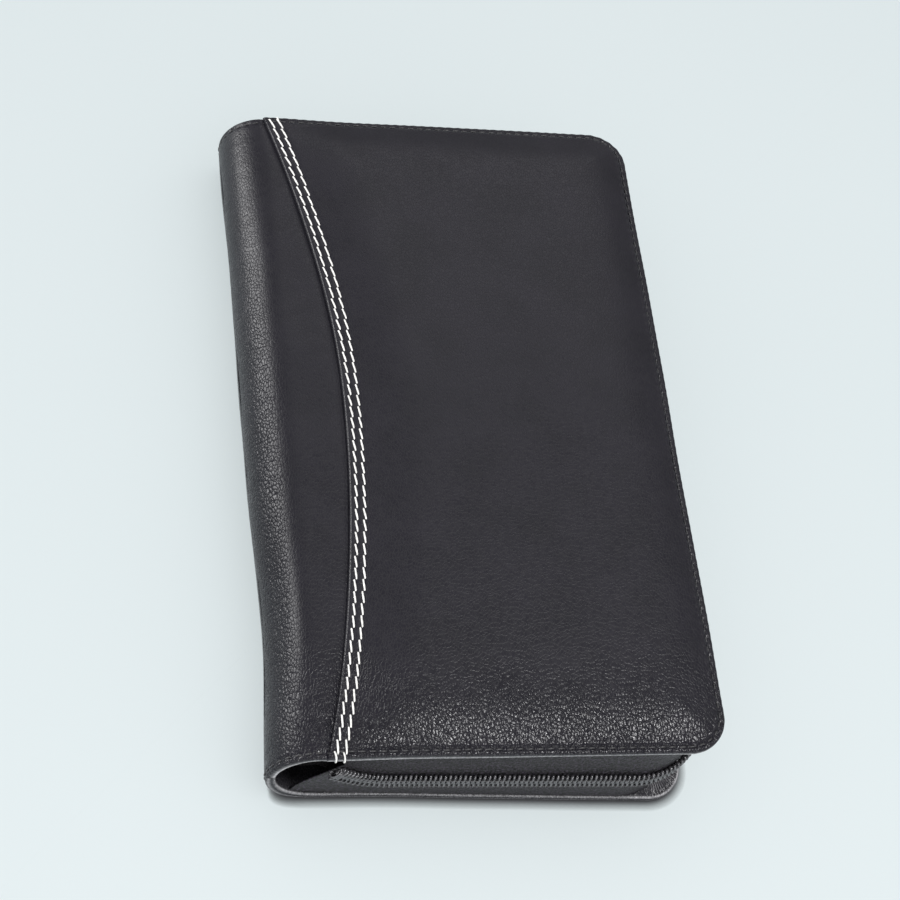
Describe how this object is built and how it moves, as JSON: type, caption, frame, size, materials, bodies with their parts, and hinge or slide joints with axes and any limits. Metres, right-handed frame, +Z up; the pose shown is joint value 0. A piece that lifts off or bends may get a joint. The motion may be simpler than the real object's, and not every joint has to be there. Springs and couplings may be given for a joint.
{
  "type": "travel document organizer",
  "caption": "Zip-round leather document wallet: padded covers on a rounded spine, a curved seam with contrast stitching, a coil zip on three sides, pockets and a pen loop inside.",
  "frame": {"origin": "on the resting face, the rear cover's outer face, below the middle of the closed case", "axes": "+X from the spine to the fore-edge, +Y from the bottom edge to the top edge along the spine, +Z up out of the front cover"},
  "size_m": [0.1368, 0.2368, 0.0385],
  "materials": {
    "leather": "black pebbled leather, satin",
    "pocket_leather": "black smooth leather, satin",
    "lining": "black woven lining cloth",
    "foam": "soft foam sheet",
    "board": "stiff board",
    "thread": "thick white sewing thread",
    "zip_tape": "black woven zip tape",
    "zip_coil": "black coil teeth with woven cord",
    "zip_metal": "dark plated metal",
    "elastic": "black ribbed elastic"
  },
  "bodies": {
    "rear_cover": {"rear_leather": "leather", "rear_foam": "foam", "rear_board": "board", "rear_lining": "lining", "rear_zip_tape": "zip_tape", "rear_zip_coil": "zip_coil", "zip_start_stop": "zip_metal", "rear_zip_end_stop": "zip_metal", "ticket_pocket": "pocket_leather", "pen_loop": "elastic"},
    "spine": {"spine_leather": "leather", "spine_lining": "lining"},
    "front_cover": {"front_panel": "leather", "front_spine_flap": "leather", "front_foam": "foam", "front_board": "board", "front_lining": "lining", "seam_stitches_inner": "thread", "seam_stitches_outer": "thread", "front_zip_tape": "zip_tape", "front_zip_coil": "zip_coil", "front_zip_end_stop": "zip_metal", "passport_pocket": "pocket_leather", "card_slot_1": "pocket_leather", "card_slot_2": "pocket_leather", "card_slot_3": "pocket_leather", "card_slot_4": "pocket_leather"},
    "slider": {"slider_body": "zip_metal", "slider_bridge": "zip_metal"},
    "pull": {"zip_pull": "zip_metal"}
  },
  "joints": [
    {"name": "rear_fold", "type": "hinge", "parent": "rear_cover", "child": "spine", "pos_m": [-0.06305, 0, 0.00405], "axis": [0, -1, 0], "range_deg": [0, 87.75]},
    {"name": "front_fold", "type": "hinge", "parent": "spine", "child": "front_cover", "pos_m": [-0.06384, 0, 0.02413], "axis": [0, -1, 0], "range_deg": [0, 87.75]},
    {"name": "zip_slide", "type": "slide", "parent": "rear_cover", "child": "slider", "axis": [0.9992, 0, 0.0393], "range_m": [0, 0.075]},
    {"name": "pull_swing", "type": "hinge", "parent": "slider", "child": "pull", "pos_m": [-0.0376, 0.11875, 0.01512], "axis": [-0.0393, 0, 0.9992], "range_deg": [0, 180]}
  ],
  "couplings": [
    {"joint": "front_fold", "follows": "rear_fold", "ratio": 1}
  ]
}
